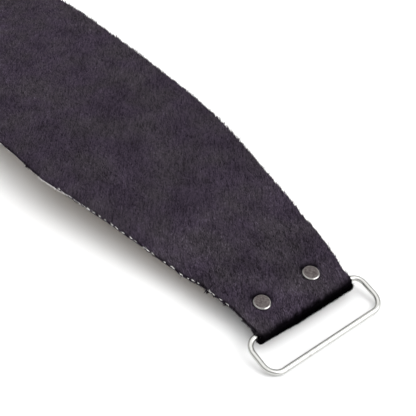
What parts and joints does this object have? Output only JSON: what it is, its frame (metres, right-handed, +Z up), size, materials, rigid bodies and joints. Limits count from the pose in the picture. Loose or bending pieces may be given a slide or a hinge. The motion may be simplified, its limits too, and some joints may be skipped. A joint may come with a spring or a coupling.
{
  "type": "climbing skin",
  "caption": "Ski climbing skin: tapered plush strip with glue underside, wire bail riveted into the folded tip, and a cam buckle, strap and hook at the tail.",
  "frame": {"origin": "middle of the length and width, on the floor that the glue lies on", "axes": "+X from the tail to the tip along the strip, +Y to the left of someone who looks from tail to tip, +Z up from the glue to the nap"},
  "size_m": [1.763, 0.134, 0.0247],
  "materials": {
    "plush": "charcoal nylon and mohair nap that lies towards the tail",
    "woven_backing": "pale woven cloth, frayed where it was cut",
    "glue": "smooth tacky hot-melt adhesive",
    "plastic_sheet": "black nylon",
    "stainless_wire": "drawn stainless steel wire",
    "rivet_steel": "worn nickel-plated steel",
    "buckle_steel": "stamped stainless steel",
    "webbing": "black flat nylon webbing",
    "thread": "bonded polyester thread",
    "rubber_sleeve": "matte rubber"
  },
  "bodies": {
    "rear": {"nap_rear": "plush", "backing_rear": "woven_backing", "glue_rear": "glue", "tail_patch": "plastic_sheet", "buckle_frame": "buckle_steel", "tail_rivets": "rivet_steel", "tail_rivet_caps": "rivet_steel", "pivot_pin": "stainless_wire", "cam_spring": "stainless_wire"},
    "front": {"nap_front": "plush", "backing_front": "woven_backing", "glue_front": "glue", "tip_stiffener": "plastic_sheet", "bail_sleeve": "plastic_sheet", "tip_rivets": "rivet_steel", "tip_rivet_caps": "rivet_steel"},
    "bail": {"tip_bail": "stainless_wire"},
    "lever": {"cam_lever": "buckle_steel"},
    "strap": {"tail_strap": "webbing", "strap_stitching": "thread"},
    "hook": {"tail_hook": "stainless_wire", "hook_sleeve": "rubber_sleeve"}
  },
  "joints": [
    {"name": "mid_fold", "type": "hinge", "parent": "rear", "child": "front", "pos_m": [0.06325, 0, 0.007], "axis": [0, -1, 0], "range_deg": [0, 170]},
    {"name": "bail_swing", "type": "hinge", "parent": "front", "child": "bail", "pos_m": [0.85925, -0.0023, 0.00788], "axis": [0, -1, 0], "range_deg": [-45, 165]},
    {"name": "cam_lift", "type": "hinge", "parent": "rear", "child": "lever", "pos_m": [-0.74375, 0, 0.0137], "axis": [0, -1, 0], "range_deg": [0, 70], "stiffness_Nm_per_rad": 0.01, "springref_deg": -45.84},
    {"name": "strap_slide", "type": "slide", "parent": "rear", "child": "strap", "axis": [1, 0, 0], "range_m": [-0.04, 0.018]},
    {"name": "hook_swing", "type": "hinge", "parent": "strap", "child": "hook", "pos_m": [-0.85599, 0, 0.0135], "axis": [0, 1, 0], "range_deg": [0, 100]}
  ]
}
